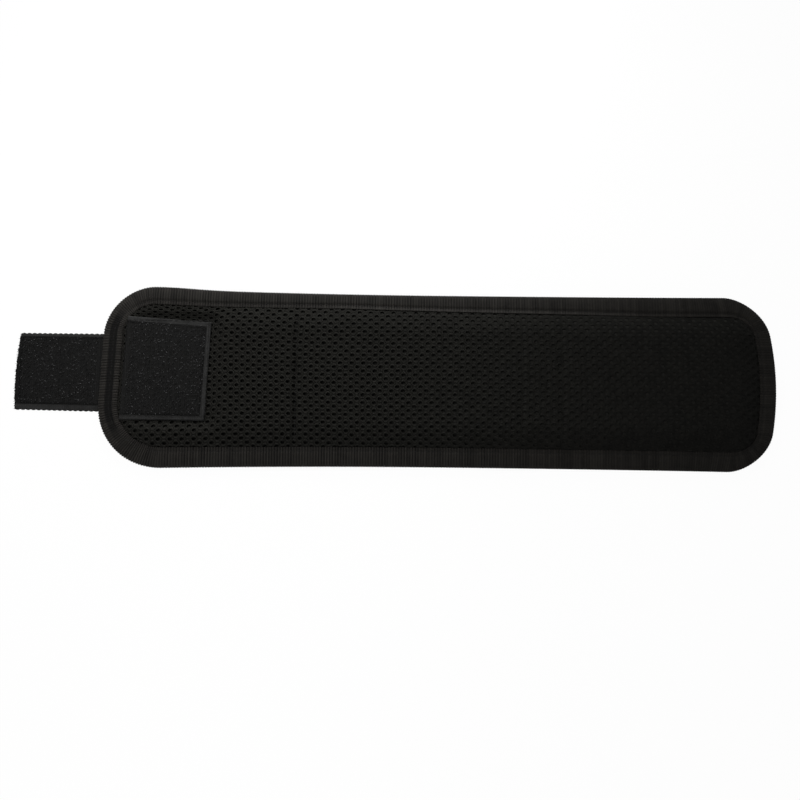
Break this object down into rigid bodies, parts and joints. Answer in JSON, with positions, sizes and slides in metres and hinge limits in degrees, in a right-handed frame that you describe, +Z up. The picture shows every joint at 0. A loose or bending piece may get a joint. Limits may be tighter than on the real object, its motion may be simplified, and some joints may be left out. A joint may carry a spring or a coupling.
{
  "type": "magnetic wristband",
  "caption": "Flat flexible band with padded mesh lining, bound edge, inner disc magnets, and hook tape that grips a loop field on its outer face when it is wrapped round a wrist.",
  "frame": {"origin": "on the rest plane, under the middle of the whole part with its hook tab", "axes": "+X along the band from the hook tab's end towards the round end, +Y across it, +Z up out of the mesh side"},
  "size_m": [0.3768, 0.0892, 0.0078],
  "materials": {
    "outer_cover": "coarse black ballistic weave",
    "mesh_lining": "padded black air mesh with oval holes",
    "binding": "ribbed black woven tape",
    "hook_tape": "black hook tape",
    "loop_tape": "fuzzy black loop tape",
    "carrier": "thin grey backing sheet",
    "magnet": "nickel-plated disc magnet"
  },
  "bodies": {
    "section_1": {"outer_cover_1": "outer_cover", "mesh_lining_1": "mesh_lining", "binding_left_end": "binding", "hook_patch_1": "hook_tape", "hook_tab_root": "hook_tape"},
    "section_2": {"outer_cover_2": "outer_cover", "mesh_lining_2": "mesh_lining", "binding_far_2": "binding", "binding_near_2": "binding", "hook_patch_2": "hook_tape"},
    "section_3": {"outer_cover_3": "outer_cover", "mesh_lining_3": "mesh_lining", "binding_far_3": "binding", "binding_near_3": "binding", "magnet_sheet_3": "carrier", "magnet_far_3": "magnet", "magnet_near_3": "magnet"},
    "section_4": {"outer_cover_4": "outer_cover", "mesh_lining_4": "mesh_lining", "binding_far_4": "binding", "binding_near_4": "binding", "magnet_sheet_4": "carrier", "magnet_far_4": "magnet", "magnet_near_4": "magnet"},
    "section_5": {"outer_cover_5": "outer_cover", "mesh_lining_5": "mesh_lining", "binding_far_5": "binding", "binding_near_5": "binding", "magnet_sheet_5": "carrier", "magnet_far_5": "magnet", "magnet_near_5": "magnet"},
    "section_6": {"outer_cover_6": "outer_cover", "mesh_lining_6": "mesh_lining", "binding_far_6": "binding", "binding_near_6": "binding", "magnet_sheet_6": "carrier", "magnet_far_6": "magnet", "magnet_near_6": "magnet"},
    "section_7": {"outer_cover_7": "outer_cover", "mesh_lining_7": "mesh_lining", "binding_far_7": "binding", "binding_near_7": "binding", "magnet_sheet_7": "carrier", "magnet_far_7": "magnet", "magnet_near_7": "magnet", "loop_field_7": "loop_tape"},
    "section_8": {"outer_cover_8": "outer_cover", "mesh_lining_8": "mesh_lining", "binding_far_8": "binding", "binding_near_8": "binding", "loop_field_8": "loop_tape"},
    "section_9": {"outer_cover_9": "outer_cover", "mesh_lining_9": "mesh_lining", "binding_far_9": "binding", "binding_near_9": "binding", "loop_field_9": "loop_tape"},
    "section_10": {"outer_cover_10": "outer_cover", "mesh_lining_10": "mesh_lining", "binding_right_end": "binding"},
    "tab": {"hook_tab": "hook_tape"}
  },
  "joints": [
    {"name": "wrap", "type": "hinge", "parent": "section_5", "child": "section_6", "pos_m": [0.01945, 0, 0.0079], "axis": [0, -1, 0], "range_deg": [0, 46]},
    {"name": "fold_1", "type": "hinge", "parent": "section_2", "child": "section_1", "pos_m": [-0.11655, 0, 0.0079], "axis": [0, 1, 0], "range_deg": [0, 34]},
    {"name": "fold_2", "type": "hinge", "parent": "section_3", "child": "section_2", "pos_m": [-0.08255, 0, 0.0079], "axis": [0, 1, 0], "range_deg": [0, 37]},
    {"name": "fold_3", "type": "hinge", "parent": "section_4", "child": "section_3", "pos_m": [-0.04855, 0, 0.0079], "axis": [0, 1, 0], "range_deg": [0, 40]},
    {"name": "fold_4", "type": "hinge", "parent": "section_5", "child": "section_4", "pos_m": [-0.01455, 0, 0.0079], "axis": [0, 1, 0], "range_deg": [0, 43]},
    {"name": "fold_6", "type": "hinge", "parent": "section_6", "child": "section_7", "pos_m": [0.05345, 0, 0.0079], "axis": [0, -1, 0], "range_deg": [0, 49]},
    {"name": "fold_7", "type": "hinge", "parent": "section_7", "child": "section_8", "pos_m": [0.08745, 0, 0.0079], "axis": [0, -1, 0], "range_deg": [0, 52]},
    {"name": "fold_8", "type": "hinge", "parent": "section_8", "child": "section_9", "pos_m": [0.12145, 0, 0.0079], "axis": [0, -1, 0], "range_deg": [0, 55]},
    {"name": "fold_9", "type": "hinge", "parent": "section_9", "child": "section_10", "pos_m": [0.15545, 0, 0.0079], "axis": [0, -1, 0], "range_deg": [0, 58]},
    {"name": "tab_fold", "type": "hinge", "parent": "section_1", "child": "tab", "pos_m": [-0.14591, 0.0026, -0.0001], "axis": [0.0349, 0.9994, 0], "range_deg": [-170, 38]}
  ],
  "couplings": [
    {"joint": "fold_1", "follows": "wrap", "ratio": 0.73913},
    {"joint": "fold_2", "follows": "wrap", "ratio": 0.80435},
    {"joint": "fold_3", "follows": "wrap", "ratio": 0.86957},
    {"joint": "fold_4", "follows": "wrap", "ratio": 0.93478},
    {"joint": "fold_6", "follows": "wrap", "ratio": 1.0652},
    {"joint": "fold_7", "follows": "wrap", "ratio": 1.1304},
    {"joint": "fold_8", "follows": "wrap", "ratio": 1.1957},
    {"joint": "fold_9", "follows": "wrap", "ratio": 1.2609}
  ]
}
